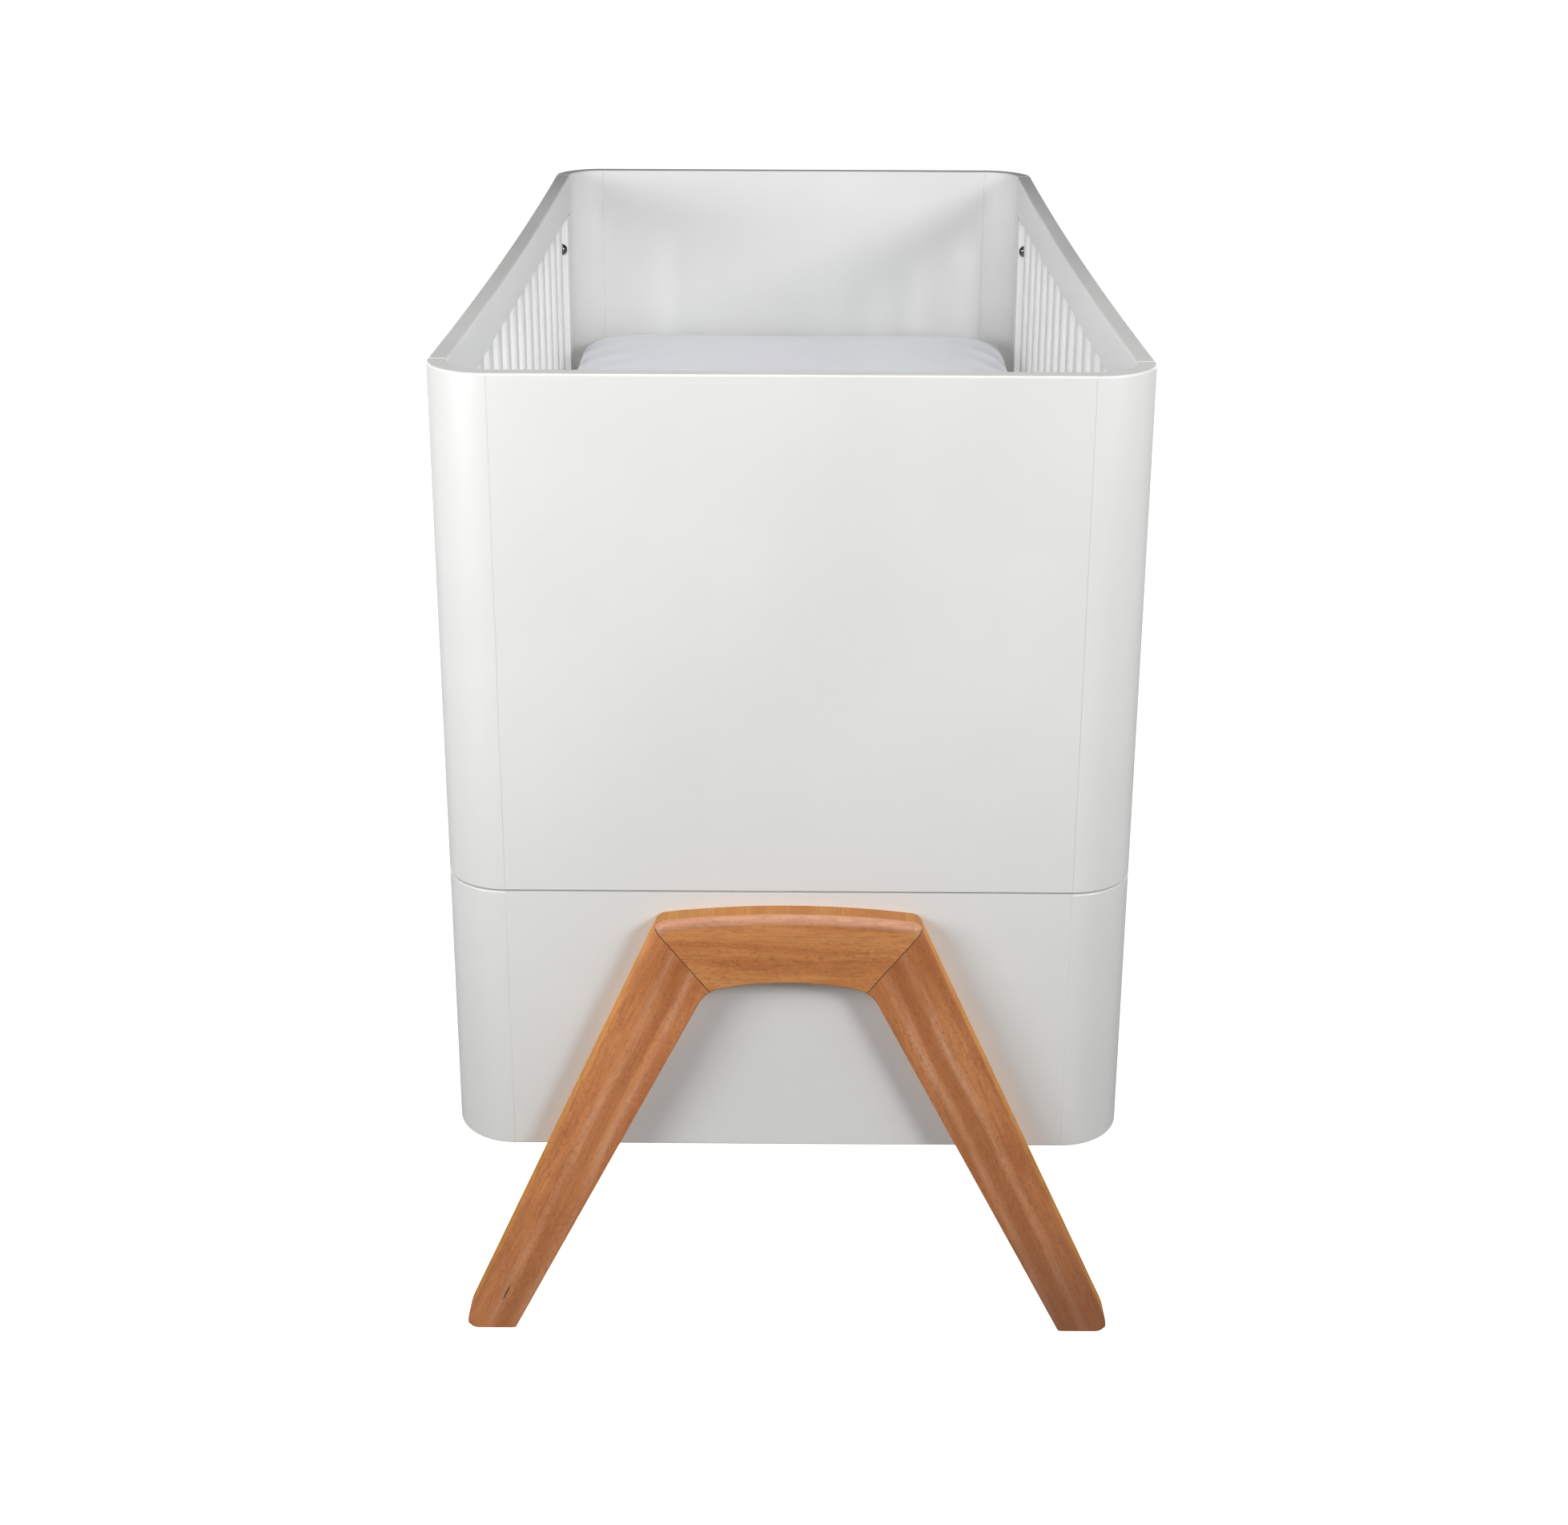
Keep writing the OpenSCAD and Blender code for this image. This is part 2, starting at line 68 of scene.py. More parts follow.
# Edges of the leg frames
OUTER_ROUND = 7.5 * MM
LEG_ROUND_SHARE = 0.38      # how small the outer round gets down the leg
LEG_ROUND_REACH = 90 * MM   # how far from the mitre it gets there
FOOT_EDGE = 4 * MM          # the foot keeps the whole round up to this height
LEG_ROUND_FOOT = 24 * MM    # and the round narrows over this much above it
INNER_ROUND = 2.2 * MM
BACK_ROUND = 0.8 * MM
MITRE_GROOVE = 0.5 * MM
# Shallow facets along the face of each leg: places of the two ridges, as shares of its width
RIDGES = (0.36, 0.78)
RIDGE_FALL = 0.9 * MM
RIDGE_HOLLOW = 0.22         # share of that fall in the hollow between the ridges
RIDGE_FADE = 45 * MM
# How much light the floor sends back up
FLOOR_BOUNCE = 0.3


# ---------------------------------------------------------------- materials

class Graph:
    """A material's node tree, with short calls for the nodes used here."""

    def __init__(self, name):
        self.material = bpy.data.materials.new(name)
        self.material.use_nodes = True
        self.tree = self.material.node_tree
        self.tree.nodes.clear()
        self.shader = self.add("ShaderNodeBsdfPrincipled")
        output = self.add("ShaderNodeOutputMaterial")
        self.link(self.shader.outputs[0], output.inputs[0])

    def add(self, kind, **settings):
        node = self.tree.nodes.new(kind)
        for key, value in settings.items():
            setattr(node, key, value)
        return node

    def link(self, output, socket):
        self.tree.links.new(output, socket)

    def put(self, socket, value):
        if hasattr(value, "is_output"):
            self.link(value, socket)
        else:
            socket.default_value = value

    def place(self, scale, turn=(0, 0, 0), shift=(0, 0, 0)):
        """Object coordinates, turned and then stretched by scale, per metre."""
        source = self.add("ShaderNodeTexCoord").outputs["Object"]
        turned = self.add("ShaderNodeMapping")
        turned.inputs["Location"].default_value = shift
        turned.inputs["Rotation"].default_value = turn
        self.link(source, turned.inputs["Vector"])
        stretched = self.add("ShaderNodeVectorMath", operation="MULTIPLY")
        self.link(turned.outputs[0], stretched.inputs[0])
        stretched.inputs[1].default_value = scale
        return stretched.outputs[0]

    def noise(self, where, detail=3.0, roughness=0.5, distortion=0.0):
        node = self.add("ShaderNodeTexNoise")
        self.link(where, node.inputs["Vector"])
        node.inputs["Scale"].default_value = 1.0
        node.inputs["Detail"].default_value = detail
        node.inputs["Roughness"].default_value = roughness
        node.inputs["Distortion"].default_value = distortion
        return node.outputs["Fac"]

    def span(self, value, low, high, out_low=0.0, out_high=1.0):
        node = self.add("ShaderNodeMapRange")
        node.interpolation_type = "SMOOTHSTEP"
        for socket, v in zip(node.inputs, (value, low, high, out_low, out_high)):
            self.put(socket, v)
        return node.outputs[0]

    def mix(self, share, a, b, blend="MIX"):
        node = self.add("ShaderNodeMix", data_type="RGBA", blend_type=blend)
        self.put(node.inputs[0], share)
        self.put(node.inputs[6], a)
        self.put(node.inputs[7], b)
        return node.outputs[2]

    def maths(self, operation, a, b=0.0, c=0.0):
        node = self.add("ShaderNodeMath", operation=operation)
        for socket, v in zip(node.inputs, (a, b, c)):
            self.put(socket, v)
        return node.outputs[0]

    def split(self, vector):
        node = self.add("ShaderNodeSeparateXYZ")
        self.link(vector, node.inputs[0])
        return list(node.outputs)

    def bump(self, height, distance, strength=1.0):
        node = self.add("ShaderNodeBump")
        node.inputs["Strength"].default_value = strength
        node.inputs["Distance"].default_value = distance
        self.link(height, node.inputs["Height"])
        self.link(node.outputs[0], self.shader.inputs["Normal"])

    def finish(self, **sockets):
        """Sets the shader's sockets: values, or outputs to link."""
        for name, value in sockets.items():
            self.put(self.shader.inputs[name.replace("_", " ")], value)
        return self.material


def paint_material():
    """Satin lacquer on board: faint clouding, orange peel and a little uneven gloss."""
    g = Graph("white_paint")
    clouds = g.noise(g.place((5, 5, 5)), detail=4)
    specks = g.noise(g.place((170, 170, 170)), detail=2)
    peel = g.noise(g.place((900, 900, 900)), detail=2)
    colour = g.mix(g.span(clouds, 0.3, 0.7), (0.80, 0.803, 0.79, 1), (0.83, 0.833, 0.822, 1))
    colour = g.mix(g.span(specks, 0.66, 0.8, 0, 0.12), colour, (0.70, 0.70, 0.69, 1))
    g.bump(peel, 0.05 * MM, 0.25)
    return g.finish(
        Base_Color=colour,
        Roughness=g.span(clouds, 0.2, 0.8, 0.36, 0.46),
        Coat_Weight=0.15,
        Coat_Roughness=0.25,
    )


# Colour of the painted shade towards the floor at the foot of each leg
FLOOR_SHADE_TONE = (0.25, 0.09, 0.04, 1)
TOP_SHADE = (0.34, 0.09, 0.012, 1)
# Colour of the painted highlights along the ridges of the legs' faces
RIDGE_HIGHLIGHT_TONE = (0.80, 0.43, 0.26, 1)


def tone(colour, factor):
    return tuple(factor * c for c in colour[:3]) + (1,)


def beech_material(name, turn, dark, light, ridge_highlights=(), foot=0.0, top_z=None, check=None,
                   flecking=0.5):
    """Stained beech. turn brings the grain onto X; ridge_highlights are (place across,
    half-width) of painted highlights along the ridges of a leg's face, with painted shade in
    the hollow between them; foot is how much painted shade darkens it towards the floor;
    check is the middle of a small dry crack; flecking is how dark the ray flecks are."""
    g = Graph(name)
    broad = g.noise(g.place((5, 55, 55), turn), detail=5, distortion=0.7)
    fine = g.noise(g.place((22, 620, 620), turn), detail=4)
    figure = g.noise(g.place((32, 60, 210), turn), detail=4, distortion=1.6)
    waves = g.noise(g.place((150, 70, 190), turn), detail=3, distortion=0.8)
    flecks = g.noise(g.place((230, 1400, 1400), turn), detail=1.5, roughness=0.4)
    pores = g.noise(g.place((160, 1600, 1600), turn), detail=1)
    colour = g.mix(g.span(broad, 0.28, 0.72), dark, light)
    colour = g.mix(g.span(fine, 0.42, 0.70, 0, 0.5), colour, tone(dark, 0.82))
    colour = g.mix(g.span(figure, 0.5, 0.66, 0, 0.4), colour, tone(dark, 0.75))
    colour = g.mix(g.span(waves, 0.4, 0.7, 0, 0.3), colour, light)
    height = g.split(g.place((1, 1, 1)))[2]
    if ridge_highlights:
        along_grain, _, across = g.split(g.place((1, 1, 1), turn))
        wander = g.noise(g.place((7, 3, 3), turn), detail=2)
        drift = g.maths("MULTIPLY", g.maths("SUBTRACT", wander, 0.5), 0.012)
        ragged = g.noise(g.place((30, 260, 260), turn), detail=3)
        between = sum(place for place, _ in ridge_highlights) / len(ridge_highlights)
        # Painted shade in the hollow between the two ridges
        gap = g.maths("ABSOLUTE", g.maths("SUBTRACT", across, between))
        colour = g.mix(g.span(gap, 2 * MM, 11 * MM, 0.3, 0.0), colour, tone(dark, 0.7))
        # Painted highlights: pale streaks along each ridge, where it would catch the light
        for place, half in ridge_highlights:
            centred = g.maths("ADD", g.maths("SUBTRACT", across, place), drift)
            near = g.span(g.maths("ABSOLUTE", centred), 0.0, half, 0.55, 0.0)
            near = g.maths("MULTIPLY", near, g.span(wander, 0.3, 0.6, 0.35, 1.0))
            near = g.maths("MULTIPLY", near, g.span(ragged, 0.3, 0.6, 0.55, 1.0))
            colour = g.mix(near, colour, RIDGE_HIGHLIGHT_TONE)
    # Painted shade: the leg darkens towards the floor
    if foot:
        colour = g.mix(g.span(height, 0.0, 0.17, foot, 0.0), colour, FLOOR_SHADE_TONE)
    if top_z:
        colour = g.mix(g.span(height, top_z - 0.11, top_z - 0.03, 0.0, 0.36), colour, TOP_SHADE)
    patches = g.noise(g.place((9, 26, 26), turn, (0.7, 0, 0)), detail=2)
    fleck_mask = g.maths("MULTIPLY", g.span(flecks, 0.57, 0.67, 0, flecking),
                         g.span(patches, 0.35, 0.62, 0.25, 1.0))
    colour = g.mix(fleck_mask, colour, tone(dark, 0.42))
    if check:
        grain, _, cross = (Matrix.Rotation(turn[1], 3, "Y") @ Vector(check))
        long_way = g.maths("DIVIDE", g.maths("SUBTRACT", along_grain, grain), 11 * MM)
        wide_way = g.maths("DIVIDE", g.maths("SUBTRACT", across, cross), 1.1 * MM)
        reach = g.maths("ADD", g.maths("MULTIPLY", long_way, long_way),
                        g.maths("MULTIPLY", wide_way, wide_way))
        colour = g.mix(g.span(reach, 0.3, 1.0, 0.85, 0.0), colour, (0.05, 0.02, 0.012, 1))
    relief = g.maths("ADD", g.maths("MULTIPLY", fleck_mask, -1.0), g.maths("MULTIPLY", pores, 0.5))
    g.bump(relief, 0.12 * MM, 0.35)
    return g.finish(
        Base_Color=colour,
        Roughness=g.span(broad, 0.2, 0.8, 0.42, 0.56),
        Coat_Weight=0.2,
        Coat_Roughness=0.3,
    )


def edge_veneer_material(name, turn, dark, light):
    """The strip round the outside of a leg frame, with its grain across the strip."""
    g = Graph(name)
    lines = g.noise(g.place((700, 6, 700), turn), detail=3)
    bands = g.noise(g.place((60, 4, 60), turn), detail=3)
    colour = g.mix(g.span(bands, 0.35, 0.65), dark, light)
    colour = g.mix(g.span(lines, 0.35, 0.7, 0, 0.5), colour, tone(dark, 0.76))
    g.bump(lines, 0.08 * MM, 0.3)
    return g.finish(Base_Color=colour, Specular_IOR_Level=0.25,
                    Roughness=g.span(bands, 0.2, 0.8, 0.5, 0.62))


def glue_line_material():
    """The thin dark line where two pieces of a leg frame meet."""
    g = Graph("glue_line")
    stain = g.noise(g.place((300, 300, 300)), detail=2)
    return g.finish(
        Base_Color=g.mix(stain, (0.15, 0.055, 0.028, 1), (0.23, 0.09, 0.04, 1)), Roughness=0.7
    )


def pale_wood_material(name, turn):
    """Unlacquered softwood for the base, and for dowels and tongues."""
    g = Graph(name)
    rings = g.noise(g.place((3, 55, 55), turn), detail=4, distortion=0.5)
    fibres = g.noise(g.place((25, 700, 700), turn), detail=3)
    colour = g.mix(g.span(rings, 0.3, 0.7), (0.66, 0.47, 0.27, 1), (0.76, 0.60, 0.40, 1))
    colour = g.mix(g.span(fibres, 0.5, 0.75, 0, 0.35), colour, (0.52, 0.34, 0.18, 1))
    g.bump(fibres, 0.1 * MM, 0.35)
    return g.finish(Base_Color=colour, Roughness=g.span(fibres, 0.2, 0.8, 0.55, 0.7))


def metal_material(name, tone, shade, roughness):
    """Plated metal with fine turning marks and a slightly cloudy polish."""
    g = Graph(name)
    cloudy = g.noise(g.place((260, 260, 260)), detail=3)
    marks = g.noise(g.place((90, 2600, 90)), detail=2)
    g.bump(marks, 0.02 * MM, 0.3)
    return g.finish(
        Base_Color=g.mix(g.span(cloudy, 0.3, 0.7), shade, tone),
        Metallic=1.0,
        Roughness=g.span(cloudy, 0.2, 0.8, roughness, roughness + 0.12),
    )


def cover_material():
    """The mattress cover: a fine plain weave with a soft lavender and grey cast."""
    g = Graph("mattress_cover")
    cast = g.noise(g.place((4, 3, 6)), detail=3)
    slubs = g.noise(g.place((90, 700, 400)), detail=2)
    yarn = [
        g.maths("SINE", g.maths("MULTIPLY", axis, 2 * math.pi / (1.1 * MM)))
        for axis in g.split(g.place((1, 1, 1)))[:2]
    ]
    weave = g.maths("ADD", g.maths("MULTIPLY", yarn[0], yarn[1]), g.maths("MULTIPLY", slubs, 0.8))
    colour = g.mix(g.span(cast, 0.35, 0.65), (0.82, 0.80, 0.87, 1), (0.79, 0.815, 0.85, 1))
    colour = g.mix(g.span(slubs, 0.55, 0.8, 0, 0.25), colour, (0.70, 0.685, 0.74, 1))
    g.bump(weave, 0.12 * MM, 0.4)
    return g.finish(
        Base_Color=colour,
        Roughness=g.span(slubs, 0.2, 0.8, 0.78, 0.92),
        Sheen_Weight=0.25,
        Sheen_Roughness=0.5,
    )


PAINT = paint_material()
GLUE = glue_line_material()
STEEL = metal_material("steel", (0.60, 0.61, 0.63, 1), (0.46, 0.47, 0.49, 1), 0.22)
BLACKED = metal_material("blacked_steel", (0.20, 0.20, 0.21, 1), (0.10, 0.10, 0.11, 1), 0.16)
BRASS = metal_material("brass", (0.78, 0.60, 0.30, 1), (0.62, 0.46, 0.22, 1), 0.30)
COVER = cover_material()
QUARTER = math.radians(90)
PALE_X = pale_wood_material("pale_wood_x", (0, 0, 0))
PALE_Y = pale_wood_material("pale_wood_y", (0, 0, QUARTER))
PALE_Z = pale_wood_material("pale_wood_z", (0, QUARTER, 0))


# ---------------------------------------------------------------- mesh helpers

def make_piece(name, bm, materials, stands_for, body, sharp=32):
    """A finished mesh piece that rides on a body and stands for CAD nodes."""
    bmesh.ops.recalc_face_normals(bm, faces=bm.faces)
    mesh = bpy.data.meshes.new(name)
    bm.to_mesh(mesh)
    bm.free()
    for polygon in mesh.polygons:
        polygon.use_smooth = True
    mesh.set_sharp_from_angle(angle=math.radians(sharp))
    for material in materials:
        mesh.materials.append(material)
    piece = bpy.data.objects.new(name, mesh)
    bpy.context.scene.collection.objects.link(piece)
    normals = piece.modifiers.new("flat_faces", "WEIGHTED_NORMAL")
    normals.keep_sharp = True
    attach(piece, body)
    if stands_for:
        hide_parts(*stands_for)
    return piece


def from_cad(node):
    """A CAD node's mesh with its triangles joined into flat faces."""
    bm = bmesh.new()
    bm.from_mesh(NODES[node].data)
    bmesh.ops.remove_doubles(bm, verts=bm.verts, dist=0.002 * MM)
    bmesh.ops.dissolve_limit(bm, angle_limit=math.radians(0.6), verts=bm.verts, edges=bm.edges)
    bmesh.ops.recalc_face_normals(bm, faces=bm.faces)
    return bm


def bevel(bm, edges, radius, segments=3):
    edges = list(edges)
    if edges:
        return bmesh.ops.bevel(
            bm, geom=edges, offset=radius, offset_type="OFFSET", segments=segments,
            profile=0.5, affect="EDGES", clamp_overlap=True, loop_slide=True, material=-1,
        )["faces"]
    return []


def along(edge, axis):
    step = edge.verts[1].co - edge.verts[0].co
    return abs(step[axis]) > 0.99 * step.length


def middle(edge):
    return (edge.verts[0].co + edge.verts[1].co) / 2


def at_extremes(point, low, high, axes, near=SAME_POINT):
    """Whether the point lies on the box's surface along each of these axes."""
    return all(min(abs(point[a] - low[a]), abs(point[a] - high[a])) < near for a in axes)


def box_edges(bm, low, high, axis):
    """The edges along axis that lie on the box's own edges."""
    others = [a for a in range(3) if a != axis]
    return [e for e in bm.edges if along(e, axis)
            and all(at_extremes(v.co, low, high, others) for v in e.verts)]


def box_mesh(low, high):
    bm = bmesh.new()
    corners = [Vector((x, y, z)) for x in (low[0], high[0]) for y in (low[1], high[1])
               for z in (low[2], high[2])]
    verts = [bm.verts.new(c) for c in corners]
    quads = ((0, 1, 3, 2), (4, 6, 7, 5), (0, 4, 5, 1), (2, 3, 7, 6), (0, 2, 6, 4), (1, 5, 7, 3))
    for quad in quads:
        bm.faces.new([verts[i] for i in quad])
    return bm


def solid_boxes(node):
    """The box of each separate solid in a node, sorted along Y."""
    bm = bmesh.new()
    bm.from_mesh(NODES[node].data)
    bmesh.ops.remove_doubles(bm, verts=bm.verts, dist=0.002 * MM)
    left, boxes = set(bm.verts), []
    while left:
        stack, found = [left.pop()], []
        while stack:
            v = stack.pop()
            found.append(v.co.copy())
            for e in v.link_edges:
                other = e.other_vert(v)
                if other in left:
                    left.remove(other)
                    stack.append(other)
        boxes.append((Vector(map(min, zip(*found))), Vector(map(max, zip(*found)))))
    bm.free()
    return sorted(boxes, key=lambda b: (round(b[0].y, 4), round(b[0].x, 4), b[0].z))


def bridge(bm, rings, closed=False):
    """Faces between successive rings of vertices; the first and last are capped unless closed."""
    rows = [[bm.verts.new(p) for p in ring] for ring in rings]
    count = len(rows[0])
    pairs = list(zip(rows, rows[1:])) + ([(rows[-1], rows[0])] if closed else [])
    for a, b in pairs:
        for i in range(count):
            j = (i + 1) % count
            bm.faces.new((a[i], a[j], b[j], b[i]))
    if not closed:
        bm.faces.new(list(reversed(rows[0])))
        bm.faces.new(rows[-1])


def rounded_rectangle(half_x, half_y, radius, steps):
    """Points round a rectangle with rounded corners, centred on the origin."""
    points = []
    for k, (sx, sy) in enumerate(((1, 1), (-1, 1), (-1, -1), (1, -1))):
        for i in range(steps + 1):
            a = math.radians(90 * (k + i / steps))
            points.append((sx * (half_x - radius) + radius * math.cos(a),
                           sy * (half_y - radius) + radius * math.sin(a)))
    return points


# ---------------------------------------------------------------- painted rings

SEAM_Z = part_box("front_upper_panel")[0].z
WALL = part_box("front_upper_panel")[1].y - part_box("front_upper_panel")[0].y


def edge_radius(z):
    return SEAM_ROUND if abs(z - SEAM_Z) < MM else RIM_ROUND


def glue_groove(node):
    return LOWER_GROOVE if "lower" in node or "apron" in node else GLUE_GROOVE


def clear_of_seam(low, high):
    """The box with its top or bottom moved back from the seam between the rings."""
    low, high = Vector(low), Vector(high)
    if abs(low.z - SEAM_Z) < MM:
        low.z += SEAM_GAP
    if abs(high.z - SEAM_Z) < MM:
        high.z -= SEAM_GAP
    return low, high


def ring_mesh(node):
    """A CAD node's mesh and box, moved back from the seam."""
    bm = from_cad(node)
    low, high = clear_of_seam(*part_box(node))
    for v in bm.verts:
        v.co.z = min(max(v.co.z, low.z), high.z)
    return bm, low, high


def painted(node, bm):
    make_piece("painted_" + node, bm, [PAINT], [node], BODY_OF[node])


def wall_panel(node, long_axis):
    """A flat wall board with eased top and bottom edges and a fine groove at its two ends."""
    bm, low, high = ring_mesh(node)
    thick = 1 - long_axis
    for z in (low.z, high.z):
        bevel(bm, [e for e in box_edges(bm, low, high, long_axis)
                   if abs(middle(e).z - z) < MM], edge_radius(z), 4)

    def from_face(edge, axis):
        return min(middle(edge)[axis] - low[axis], high[axis] - middle(edge)[axis])

    margin = RIM_ROUND + 0.1 * MM
    ends = [e for e in bm.edges
            if all(at_extremes(v.co, low, high, (long_axis,)) for v in e.verts)
            and (from_face(e, thick) < 0.5 * MM or from_face(e, 2) < margin)]
    bevel(bm, ends, glue_groove(node), 1)
    painted(node, bm)


def post_section(inner, outer, z0, z1, inset):
    """Radius and height round a wall's section, shrunk by inset at a groove."""
    points = []
    for radius, z, start in ((outer, z0, 270), (outer, z1, 0), (inner, z1, 90), (inner, z0, 180)):
        r = edge_radius(z)
        cr = radius + (-r if radius == outer else r)
        cz = z + (r if z == z0 else -r)
        for i in range(5):
            a = math.radians(start + 90 * i / 4)
            points.append((cr + (r - inset) * math.cos(a), cz + (r - inset) * math.sin(a)))
    return points


def corner_post(node, end, side):
    """A quarter ring with eased edges and a fine groove at each joint."""
    low, high = clear_of_seam(*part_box(node))
    sx, sy = (1 if side == "right" else -1), (1 if end == "rear" else -1)
    outer = high.x - low.x
    centre = Vector((low.x if sx > 0 else high.x, low.y if sy > 0 else high.y, 0))
    inner = outer - WALL
    steps = 36
    glue = glue_groove(node)
    side_joint = glue if "lower" in node else RAIL_STEP if end == "front" else RAIL_EASE
    stops = [(0.0, side_joint)]
    stops += [(90 * i / steps, 0.0) for i in range(1, steps)]
    stops[1] = (math.degrees(side_joint / outer), 0.0)
    stops += [(90 - math.degrees(glue / outer), 0.0), (90.0, glue)]
    rings = []
    for angle, inset in sorted(stops):
        a = math.radians(angle)
        rings.append([centre + Vector((sx * r * math.cos(a), sy * r * math.sin(a), z))
                      for r, z in post_section(inner, outer, low.z, high.z, inset)])
    bm = bmesh.new()
    bridge(bm, rings)
    painted(node, bm)


def top_rail(side):
    """The dipped rail: its section is swept along Y, under the rail's own top line."""
    node = side + "_top_rail"
    low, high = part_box(node)
    tops = {}
    for v in NODES[node].data.vertices:
        key = round(v.co.y, 5)
        tops[key] = max(tops.get(key, low.z), v.co.z)
    dip = high.z - min(z for y, z in tops.items() if z > (low.z + high.z) / 2)
    half, mid = high.y, (low.x + high.x) / 2
    steps = 72
    rings = []
    for i in range(steps + 1):
        y = half * (2 * i / steps - 1)
        inset = {0: RAIL_EASE, steps: RAIL_STEP}.get(i, 0.0)
        if i in (1, steps - 1):
            y = math.copysign(half - (RAIL_EASE if i == 1 else RAIL_STEP), y)
        top = high.z - dip * (1 - (y / half) ** 2)
        tall = (top - low.z) / 2
        section = rounded_rectangle(WALL / 2 - inset, tall - inset,
                                    RAIL_ROUND - inset, 4)
        rings.append([Vector((mid + x, y, low.z + tall + z)) for x, z in section])
    bm = bmesh.new()
    bridge(bm, rings)
    painted(node, bm)


def rail_or_stile(node, body_low, body_high, long_axis, joint_axis):
    """A straight bar with eased long edges and a fine groove at its two joints."""
    bm = box_mesh(body_low, body_high)
    bevel(bm, box_edges(bm, body_low, body_high, long_axis), SEAM_ROUND, 3)
    ends = [e for e in bm.edges
            if all(at_extremes(v.co, body_low, body_high, (joint_axis,)) for v in e.verts)]
    bevel(bm, ends, GLUE_GROOVE, 1)
    painted(node, bm)


def slats(side):
    node = side + "_slats"
    bm = bmesh.new()
    for low, high in solid_boxes(node):
        size, mid = (high - low) / 2, (high + low) / 2
        ring = rounded_rectangle(size.x, size.y, 5 * MM, 8)
        bridge(bm, [[Vector((mid.x + x, mid.y + y, z)) for x, y in ring] for z in (low.z, high.z)])
    painted(node, bm)


for end in ENDS:
    wall_panel(end + "_upper_panel", 0)
    wall_panel(end + "_lower_panel", 0)
    for side in SIDES:
        corner_post(f"{end}_{side}_upper_post", end, side)
        corner_post(f"{end}_{side}_lower_post", end, side)
        stile_low, stile_high = (Vector(c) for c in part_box(f"{end}_{side}_stile"))
        stile_low.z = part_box(side + "_bottom_rail")[1].z
        stile_high.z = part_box(side + "_top_rail")[0].z
        rail_or_stile(f"{end}_{side}_stile", stile_low, stile_high, 2, 2)
for side in SIDES:
    top_rail(side)
    rail_or_stile(side + "_bottom_rail", *clear_of_seam(*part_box(side + "_bottom_rail")), 1, 1)
    wall_panel(side + "_apron", 1)
    slats(side)


# ---------------------------------------------------------------- leg frames

# The order of a leg-frame piece's materials, and the codes of its outline's edges
WOOD_SLOT, EDGE_SLOT, GLUE_SLOT, ROUND_SLOT = range(4)
KINDS = ("none", "outer", "inner", "foot", "mitre")
BACK_EDGE = 10              # added to the code of an edge on the back face


def outer_face_loop(node, outward):
    """The points round a leg-frame piece's outer face, in order, as (x, z)."""
    bm = from_cad(node)
    level = max(outward * v.co.y for v in bm.verts)
    faces = [f for f in bm.faces if all(outward * v.co.y > level - SAME_LEVEL for v in f.verts)]
    inside = set(faces)
    rim = [e for e in bm.edges if sum(f in inside for f in e.link_faces) == 1]
    neighbours = {}
    for e in rim:
        for v in e.verts:
            neighbours.setdefault(v, []).append(e.other_vert(v))
    start = rim[0].verts[0]
    loop, previous, current = [start], None, start
    while True:
        following = [v for v in neighbours[current] if v is not previous]
        previous, current = current, following[0]
        if current is start:
            break
        loop.append(current)
    points = [(v.co.x, v.co.z) for v in loop]
    bm.free()
    area = sum(a[0] * b[1] - b[0] * a[1] for a, b in zip(points, points[1:] + points[:1]))
    return points if area > 0 else points[::-1]


def edge_kinds(loop, shared, is_leg):
    """For each side of the outline: outer, inner, foot or mitre."""
    kinds = []
    for a, b in zip(loop, loop[1:] + loop[:1]):
        length = math.dist(a, b)
        normal = ((b[1] - a[1]) / length, -(b[0] - a[0]) / length)
        if a in shared and b in shared:
            kinds.append("mitre")
        elif is_leg and normal[1] < -0.9:
            kinds.append("foot")
        elif is_leg:
            outward = normal[0] * math.copysign(1, a[0] + b[0])
            kinds.append("outer" if outward > 0 else "inner")
        else:
            kinds.append("outer" if normal[1] > 0 else "inner")
    return kinds


